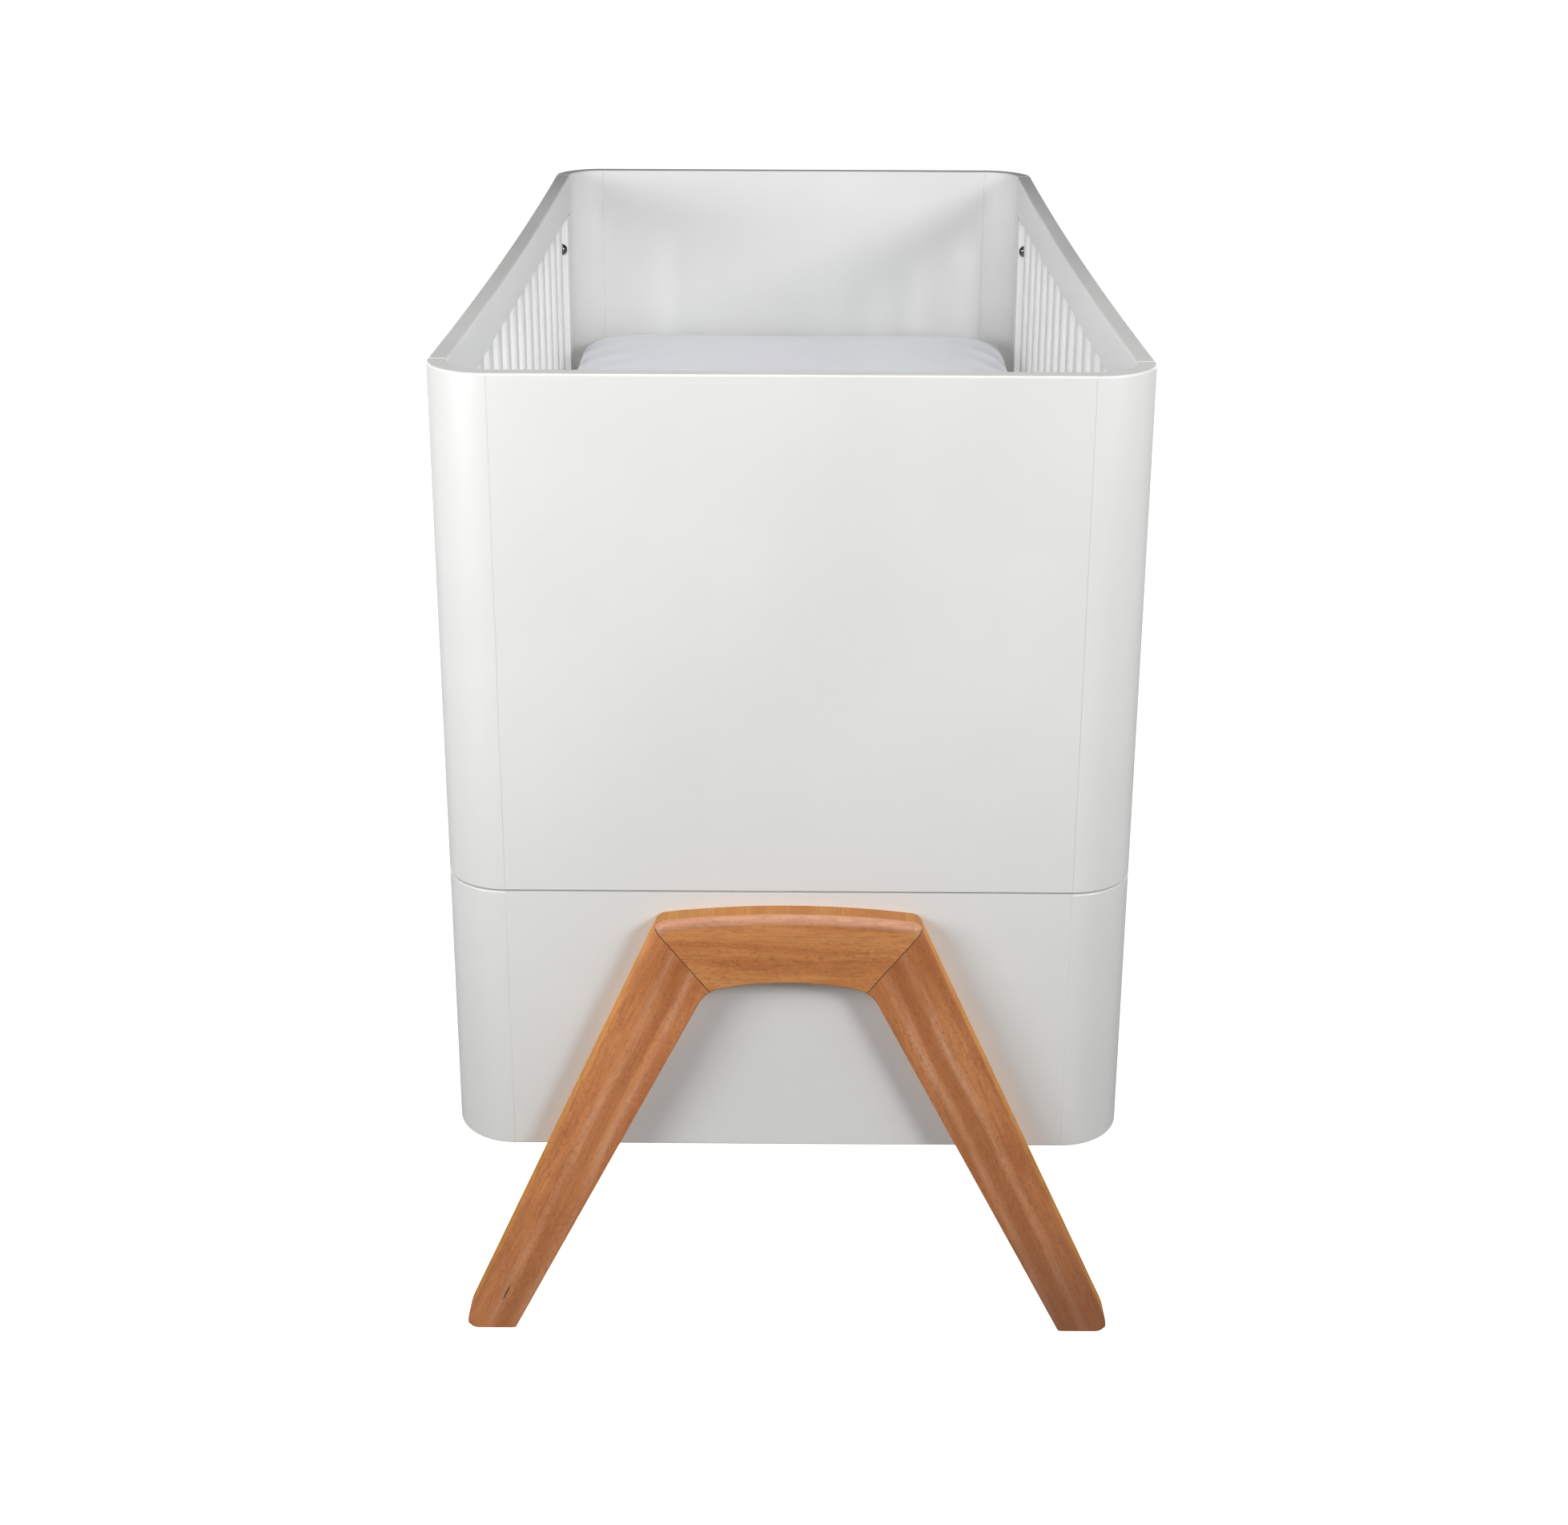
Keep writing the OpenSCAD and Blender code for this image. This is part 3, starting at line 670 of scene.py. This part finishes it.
def leg_frame_piece(node, outward, shared, materials):
    is_leg = node.endswith("_leg")
    loop = outer_face_loop(node, outward)
    shared_here = {p for p in loop if any(math.dist(p, q) < 0.1 * MM for q in shared)}
    kinds = edge_kinds(loop, shared_here, is_leg)
    low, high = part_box(node)
    face_y, back_y = (high.y, low.y) if outward > 0 else (low.y, high.y)
    bm = bmesh.new()
    fronts = [bm.verts.new((x, face_y, z)) for x, z in loop]
    backs = [bm.verts.new((x, back_y, z)) for x, z in loop]
    count = len(loop)
    bm.faces.new(fronts)
    bm.faces.new(backs[::-1])
    for i in range(count):
        j = (i + 1) % count
        face = bm.faces.new((fronts[i], backs[i], backs[j], fronts[j]))
        face.material_index = EDGE_SLOT if kinds[i] == "outer" else WOOD_SLOT
    bm.normal_update()
    kind = bm.edges.layers.int.new("kind")
    for rim in (fronts, backs):
        for i in range(count):
            edge = bm.edges.get((rim[i], rim[(i + 1) % count]))
            edge[kind] = KINDS.index(kinds[i]) + (BACK_EDGE if rim is backs else 0)
    outer, inner = KINDS.index("outer"), KINDS.index("inner")
    rounds = ((outer, OUTER_ROUND, 7), (inner, INNER_ROUND, 4),
              (outer + BACK_EDGE, BACK_ROUND, 2), (inner + BACK_EDGE, BACK_ROUND, 2))
    for code, radius, segments in rounds:
        chosen = [e for e in bm.edges if e[kind] == code]
        for face in bevel(bm, chosen, radius, segments):
            face.material_index = ROUND_SLOT if code == outer else WOOD_SLOT
            for e in face.edges:
                e[kind] = 0
    foot = [e for e in bm.edges if e.is_manifold and is_leg
            and all(v.co.z < SAME_LEVEL for v in e.verts)]
    bevel(bm, foot, BACK_ROUND, 2)
    if is_leg:
        rim_lines = [(Vector(a), Vector(b))
                     for a, b, k in zip(loop, loop[1:] + loop[:1], kinds) if k == "outer"]
        facet_leg(bm, loop, shared_here, rim_lines, face_y, outward)
    groove_mitres(bm, shared_here, face_y)
    make_piece("wood_" + node, bm, materials, [node], BODY_OF[node], sharp=40)


def leg_lines(loop, shared):
    """The leg's outer and inner ends of the mitre, and the outer and inner ends of its foot."""
    foot = sorted((p for p in loop if p[1] < 0.5 * MM), key=lambda p: abs(p[0]))
    inner, outer = sorted(shared, key=lambda p: p[1])
    return Vector(outer), Vector(inner), Vector(foot[-1]), Vector(foot[0])


def nearest_on(lines, point):
    """The point on these lines that is nearest to the given one."""
    found = []
    for a, b in lines:
        t = min(max((point - a).dot(b - a) / (b - a).length_squared, 0), 1)
        found.append(a.lerp(b, t))
    return min(found, key=lambda q: (q - point).length)


def facet_leg(bm, loop, shared, rim_lines, face_y, outward):
    """Cuts the leg's face lengthwise and across, slims its outer round away from the mitre,
    and lowers the face to each side of two soft ridges."""
    top_outer, top_inner, foot_outer, foot_inner = leg_lines(loop, shared)

    def flat(p):
        return Vector((p[0], face_y, p[1]))

    def cut(a, b):
        normal = (b - a).cross(Vector((0, 1, 0)))
        bmesh.ops.bisect_plane(bm, geom=bm.verts[:] + bm.edges[:] + bm.faces[:],
                               plane_co=a, plane_no=normal, dist=SAME_LEVEL)

    beside = (-0.04, 0, 0.04)
    stops = [0.2, 0.27] + [RIDGES[0] + d for d in beside]
    stops += [0.5, 0.64] + [RIDGES[1] + d for d in beside] + [0.9]
    for share in stops:
        cut(flat(top_outer.lerp(top_inner, share)), flat(foot_outer.lerp(foot_inner, share)))
    top_mid, foot_mid = (top_outer + top_inner) / 2, (foot_outer + foot_inner) / 2
    axis = (foot_mid - top_mid).normalized()
    length = (foot_mid - top_mid).length
    across = Vector((-axis.y, axis.x))
    rows = 14
    for i in range(1, rows):
        centre = top_mid.lerp(foot_mid, i / rows)
        cut(flat(centre - across), flat(centre + across))
    mitre_dir = (top_inner - top_outer).normalized()
    mitre_normal = Vector((-mitre_dir.y, mitre_dir.x))
    for v in bm.verts:
        depth = outward * (face_y - v.co.y)
        if depth > OUTER_ROUND + SAME_LEVEL:
            continue
        here = Vector((v.co.x, v.co.z))
        from_mitre = abs((here - top_outer).dot(mitre_normal))
        rim = nearest_on(rim_lines, here)
        if (here - rim).length < OUTER_ROUND + SAME_POINT:
            fade = ease(from_mitre / LEG_ROUND_REACH)
            fade *= ease((here.y - FOOT_EDGE) / LEG_ROUND_FOOT)
            share = 1 - (1 - LEG_ROUND_SHARE) * fade
            here = rim + (here - rim) * share
            depth *= share
        t = (here - top_mid).dot(axis) / length
        a, b = top_outer.lerp(foot_outer, t), top_inner.lerp(foot_inner, t)
        share = (here - a).dot(b - a) / (b - a).length_squared
        if share < RIDGES[0]:
            fall = min(1.0, (RIDGES[0] - share) / RIDGES[0])
        elif share > RIDGES[1]:
            fall = min(1.0, (share - RIDGES[1]) / (1 - RIDGES[1]))
        else:
            between = (share - RIDGES[0]) / (RIDGES[1] - RIDGES[0])
            fall = RIDGE_HOLLOW * math.sin(math.pi * between)
        depth = max(depth, RIDGE_FALL * fall * ease(from_mitre / RIDGE_FADE))
        v.co = Vector((here.x, face_y - outward * depth, here.y))


def ease(x):
    """A smooth step from 0 to 1."""
    x = min(max(x, 0.0), 1.0)
    return x * x * (3 - 2 * x)


def groove_mitres(bm, shared, face_y):
    """A fine dark groove along each mitre on the outer face."""
    for pair in mitre_pairs(shared):
        a, b = (Vector((p[0], face_y, p[1])) for p in pair)
        line = (b - a).normalized()

        def on_line(v):
            step = v.co - a
            step.y = 0
            return (step - step.dot(line) * line).length < SAME_POINT

        chosen = [e for e in bm.edges if all(on_line(v) for v in e.verts)
                  and abs(middle(e).y - face_y) < OUTER_ROUND * 1.02
                  and e.is_manifold and e.calc_face_angle() > math.radians(30)]
        for face in bevel(bm, chosen, MITRE_GROOVE, 1):
            face.material_index = GLUE_SLOT


def mitre_pairs(shared):
    """The outer and inner end of each mitre, from the points that the pieces share."""
    pairs = []
    for sign in (-1, 1):
        pair = sorted((p for p in shared if p[0] * sign > 0), key=lambda p: p[1])
        if len(pair) == 2:
            pairs.append(pair)
    return pairs


BEECH_DARK = (0.50, 0.168, 0.046, 1)
BEECH_LIGHT = (0.70, 0.295, 0.094, 1)
LEG_DARK = (0.47, 0.157, 0.05, 1)
LEG_LIGHT = (0.66, 0.262, 0.092, 1)
LEG_TONE = {"left": 1.18, "right": 1.01}     # the left leg's board is the lighter one
# How strongly painted shade darkens each leg towards the floor
LEG_FLOOR_SHADE = {"left": 0.2, "right": 0.65}
# The beam's outer round-over is paler and pinker than its face: painted sheen where the lacquered
# round would reflect the lamps
ROUND_SHEEN_DARK = (0.465, 0.19, 0.094, 1)
ROUND_SHEEN_LIGHT = (0.63, 0.31, 0.178, 1)
BEAM_WOOD = beech_material("beech_beam", (0, 0, 0), BEECH_DARK, BEECH_LIGHT)
BEAM_ROUND_SHEEN = beech_material("beech_round_sheen", (0, 0, 0), ROUND_SHEEN_DARK, ROUND_SHEEN_LIGHT, flecking=0.2)
# The beam's top strip is a darker copy of the legs' edge wood: painted shade on its upward-facing
# top
BEAM_EDGE_SHADED = edge_veneer_material("beech_edge_beam_shaded", (0, 0, 0),
                                 (0.44, 0.17, 0.045, 1), (0.50, 0.23, 0.066, 1))
LEG_EDGE = ((0.60, 0.235, 0.03, 1), (0.70, 0.31, 0.045, 1))


def leg_materials(end, side, loop, shared):
    top_outer, top_inner, foot_outer, foot_inner = leg_lines(loop, shared)
    ridge = [top_outer.lerp(top_inner, r) for r in RIDGES]
    feet = [foot_outer.lerp(foot_inner, r) for r in RIDGES]
    step = (feet[0] - ridge[0]).normalized()
    turn = math.atan2(step.y, step.x)      # the Y rotation that brings the grain onto X
    spin = Matrix.Rotation(turn, 3, "Y")
    # Painted highlights follow the leg's two ridges
    ridge_highlights = []
    for a, b in zip(ridge, feet):
        centre = (a + b) / 2
        ridge_highlights.append(((spin @ Vector((centre.x, 0, centre.y))).z, 7 * MM))
    check = None
    if (end, side) == ("front", "left"):
        near_foot = feet[0].lerp(ridge[0], 0.1)
        check = (near_foot.x + 2 * MM, 0, near_foot.y)
    wood = beech_material("beech_leg_" + side, (0, turn, 0), tone(LEG_DARK, LEG_TONE[side]),
                          tone(LEG_LIGHT, LEG_TONE[side]), ridge_highlights, LEG_FLOOR_SHADE[side],
                          max(p[1] for p in loop), check)
    return [wood, edge_veneer_material("beech_edge_leg_" + side, (0, turn, 0), *LEG_EDGE),
            GLUE, wood]


def leg_frame(end):
    outward = 1 if end == "rear" else -1
    beam = outer_face_loop(end + "_leg_beam", outward)
    shared = []
    for side in SIDES:
        loop = outer_face_loop(f"{end}_{side}_leg", outward)
        meets = [p for p in loop if any(math.dist(p, q) < 0.1 * MM for q in beam)]
        shared += meets
        leg_frame_piece(f"{end}_{side}_leg", outward, meets, leg_materials(end, side, loop, meets))
    leg_frame_piece(end + "_leg_beam", outward, shared, [BEAM_WOOD, BEAM_EDGE_SHADED, GLUE, BEAM_ROUND_SHEEN])


for end in ENDS:
    leg_frame(end)


# ---------------------------------------------------------------- base and fasteners

def eased_copy(node, prefix, material, radius=1.2 * MM):
    """A CAD node's solids with every long edge eased."""
    bm = from_cad(node)
    edges = [e for e in bm.edges if e.is_manifold and e.calc_length() > 8 * MM
             and e.calc_face_angle() > math.radians(50)]
    bevel(bm, edges, radius, 2)
    make_piece(prefix + node, bm, [material], [node], BODY_OF[node])


eased_copy("base_slats", "wood_", PALE_X)
eased_copy("centre_base_rail", "wood_", PALE_Y)
for side in SIDES:
    eased_copy(side + "_base_rail", "wood_", PALE_Y)
for end in ENDS:
    eased_copy(end + "_base_rail", "wood_", PALE_X)


def dress(node, material):
    """Gives a CAD node that keeps its own shape a material."""
    mesh = NODES[node].data
    mesh.materials.clear()
    mesh.materials.append(material)


for node in ("base_bolts", "base_spacers", "base_screws", "leg_bolts",
             "joining_plates", "corner_brackets", "wood_screws"):
    dress(node, STEEL)
dress("side_bolts", BLACKED)
for node in ("base_inserts", "side_inserts", "leg_inserts"):
    dress(node, BRASS)
dress("seam_dowels", PALE_Z)
dress("mitre_dowels", PALE_X)
dress("panel_tongues", PALE_Z)


# ---------------------------------------------------------------- mattress

CLOTH_FRAMES = 20


def mattress():
    """The mattress's closed shape before it is swollen, a little smaller than its CAD box."""
    low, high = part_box("mattress")
    size, mid = (high - low) / 2, (high + low) / 2
    shrink = 4 * MM
    corner = 85 * MM
    edge = 24 * MM
    rings = []
    steps = 8
    for z_side in (-1, 1):
        for i in range(steps + 1):
            a = math.radians(90 * (i / steps if z_side > 0 else 1 - i / steps))
            out = edge * (1 - math.cos(a))
            z = z_side * (size.z - shrink - edge * (1 - math.sin(a)))
            outline = rounded_rectangle(size.x - shrink - out, size.y - shrink - out,
                                        corner - shrink - out, 10)
            rings.append([Vector((mid.x + x, mid.y + y, mid.z + z)) for x, y in outline])
    bm = bmesh.new()
    bridge(bm, rings)
    mesh = bpy.data.meshes.new("mattress_shape")
    bm.to_mesh(mesh)
    bm.free()
    return mesh


def swell(mesh, voxel, pressure, cap):
    """Fills the closed mesh with air as a cloth, no point moving further than cap,
    and returns the swollen object."""
    shape = bpy.data.objects.new("swelling", mesh)
    scene = bpy.context.scene
    scene.collection.objects.link(shape)
    remesh = shape.modifiers.new("remesh", "REMESH")
    remesh.mode = "VOXEL"
    remesh.voxel_size = voxel
    remeshed = bpy.data.meshes.new_from_object(
        shape.evaluated_get(bpy.context.evaluated_depsgraph_get()))
    shape.modifiers.clear()
    shape.data = remeshed
    start = [v.co.copy() for v in remeshed.vertices]
    cloth = shape.modifiers.new("cloth", "CLOTH")
    cloth.settings.use_pressure = True
    cloth.settings.uniform_pressure_force = pressure
    cloth.settings.effector_weights.gravity = 0
    cloth.settings.mass = 0.2
    for number in range(1, CLOTH_FRAMES + 1):
        scene.frame_set(number)
    moved = bpy.data.meshes.new_from_object(
        shape.evaluated_get(bpy.context.evaluated_depsgraph_get()))
    for vertex, rest in zip(moved.vertices, start):
        step = vertex.co - rest
        if step.length > cap:
            vertex.co = rest + step * (cap / step.length)
    shape.modifiers.clear()
    shape.data = moved
    scene.frame_set(1)
    return shape


cushion = swell(mattress(), 9 * MM, 4.0, 4 * MM)
cushion.name = "mattress_body"
cushion.data.materials.clear()
cushion.data.materials.append(COVER)
for polygon in cushion.data.polygons:
    polygon.use_smooth = True
smoother = cushion.modifiers.new("smooth", "SMOOTH")
smoother.iterations = 3
finer = cushion.modifiers.new("finer", "SUBSURF")
finer.levels = finer.render_levels = 1
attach(cushion, "mattress")
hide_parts("mattress")


# ---------------------------------------------------------------- stage, light and camera

def floor_material():
    """A pale studio floor, lifted to white where the camera sees it directly. It throws
    less light back up than it shows, and fades into the white beyond it."""
    g = Graph("floor")
    clouds = g.noise(g.place((1.5, 1.5, 1.5)), detail=3)
    seen = g.add("ShaderNodeLightPath").outputs["Is Camera Ray"]
    pale = g.mix(clouds, (0.84, 0.84, 0.84, 1), (0.88, 0.88, 0.88, 1))
    g.finish(Base_Color=g.mix(seen, (FLOOR_BOUNCE, FLOOR_BOUNCE, FLOOR_BOUNCE, 1), pale),
             Roughness=0.8)
    reach = g.add("ShaderNodeVectorMath", operation="LENGTH")
    g.link(g.place((1, 1, 1)), reach.inputs[0])
    level = g.span(reach.outputs["Value"], 0.9, 3.2, 0.96, 1.0)
    glow = g.add("ShaderNodeEmission")
    glow.inputs["Color"].default_value = (1, 1, 1, 1)
    g.link(g.maths("MULTIPLY", seen, level), glow.inputs["Strength"])
    both = g.add("ShaderNodeAddShader")
    g.link(g.shader.outputs[0], both.inputs[0])
    g.link(glow.outputs[0], both.inputs[1])
    output = next(n for n in g.tree.nodes if n.type == "OUTPUT_MATERIAL")
    g.link(both.outputs[0], output.inputs[0])
    return g.material


def make_floor():
    half = 30
    mesh = bpy.data.meshes.new("floor")
    corners = [(-half, -half, 0), (half, -half, 0), (half, half, 0), (-half, half, 0)]
    mesh.from_pydata(corners, [], [(0, 1, 2, 3)])
    mesh.materials.append(floor_material())
    floor = bpy.data.objects.new("floor", mesh)
    bpy.context.scene.collection.objects.link(floor)


def make_world(strength):
    world = bpy.data.worlds.new("studio")
    bpy.context.scene.world = world
    world.use_nodes = True
    nodes, links = world.node_tree.nodes, world.node_tree.links
    nodes.clear()
    seen = nodes.new("ShaderNodeLightPath")
    level = nodes.new("ShaderNodeMapRange")
    level.inputs["To Min"].default_value = strength
    level.inputs["To Max"].default_value = 1.05
    links.new(seen.outputs["Is Camera Ray"], level.inputs["Value"])
    background = nodes.new("ShaderNodeBackground")
    background.inputs["Color"].default_value = (1, 1, 1, 1)
    links.new(level.outputs[0], background.inputs["Strength"])
    output = nodes.new("ShaderNodeOutputWorld")
    links.new(background.outputs[0], output.inputs[0])


def softbox(name, place, target, size, watts):
    data = bpy.data.lights.new(name, "AREA")
    data.shape = "RECTANGLE"
    data.size, data.size_y = size
    data.energy = watts
    light = bpy.data.objects.new(name, data)
    bpy.context.scene.collection.objects.link(light)
    light.location = place
    light.visible_camera = False
    light.rotation_mode = "QUATERNION"
    light.rotation_quaternion = (Vector(target) - Vector(place)).to_track_quat("-Z", "Y")


def over_mattress():
    """A soft spot that falls mostly on the mattress."""
    data = bpy.data.lights.new("over_mattress", "SPOT")
    data.energy = 18
    data.spot_size = math.radians(42)
    data.spot_blend = 1.0
    data.shadow_soft_size = 0.12
    light = bpy.data.objects.new("over_mattress", data)
    bpy.context.scene.collection.objects.link(light)
    light.location = (0, 0.1, 1.9)
    light.visible_camera = False
    light.rotation_mode = "QUATERNION"
    light.rotation_quaternion = (Vector((0, 0.3, 0.74)) - light.location).to_track_quat("-Z", "Y")


CAMERA_PLACE = (0.0026, -2.5126, 1.4038)
CAMERA_TURN = (18.33, -0.25, 0.22)      # degrees down, to the left and rolled
CAMERA_SHIFT = -0.12                    # of the picture's width
SENSOR_WIDTH = 36                       # mm
FOCAL_OVER_WIDTH = 1.4239               # focal length as a share of the picture's width


def make_camera():
    """The camera stands in front of the near end and looks down into the crib."""
    pitch, yaw, roll = (math.radians(a) for a in CAMERA_TURN)
    forward = Vector((math.sin(yaw) * math.cos(pitch), math.cos(yaw) * math.cos(pitch),
                      -math.sin(pitch)))
    right = Vector((math.cos(yaw), -math.sin(yaw), 0))
    up = right.cross(forward)
    right, up = (math.cos(roll) * right + math.sin(roll) * up,
                 -math.sin(roll) * right + math.cos(roll) * up)
    data = bpy.data.cameras.new("camera")
    data.sensor_width = SENSOR_WIDTH
    data.lens = SENSOR_WIDTH * FOCAL_OVER_WIDTH
    data.shift_y = CAMERA_SHIFT
    camera = bpy.data.objects.new("camera", data)
    bpy.context.scene.collection.objects.link(camera)
    axes = Matrix((right, up, -forward)).transposed().to_4x4()
    axes.translation = Vector(CAMERA_PLACE)
    camera.matrix_world = axes
    bpy.context.scene.camera = camera


bpy.context.scene.view_settings.view_transform = "Standard"
make_floor()
make_world(0.07)
softbox("left_key", (-2.6, -3.0, 2.2), (0, -0.4, 0.7), (0.9, 0.9), 12)
softbox("left_side", (-3.6, -2.2, 1.6), (0, -0.4, 0.6), (0.9, 0.9), 32)
softbox("right_key", (2.6, -3.0, 2.2), (0, -0.4, 0.7), (0.9, 0.9), 54)
softbox("left_near", (-1.0, -1.25, 1.05), (0, -0.6, 0.8), (0.5, 0.5), 7.5)
softbox("right_near", (1.0, -1.25, 1.05), (0, -0.6, 0.8), (0.5, 0.5), 4.4)
softbox("over_front", (0, -0.9, 2.3), (0, -0.55, 0.95), (0.7, 0.5), 10.5)
softbox("inside", (0, -0.35, 1.45), (0, 0.607, 0.8), (0.5, 0.3), 0.8)
for sx in (-1, 1):
    softbox("behind", (sx * 2.6, 3.0, 0.8), (0, 0.5, 0.4), (1.3, 0.9), 26)
over_mattress()
make_camera()

bpy.context.view_layer.update()
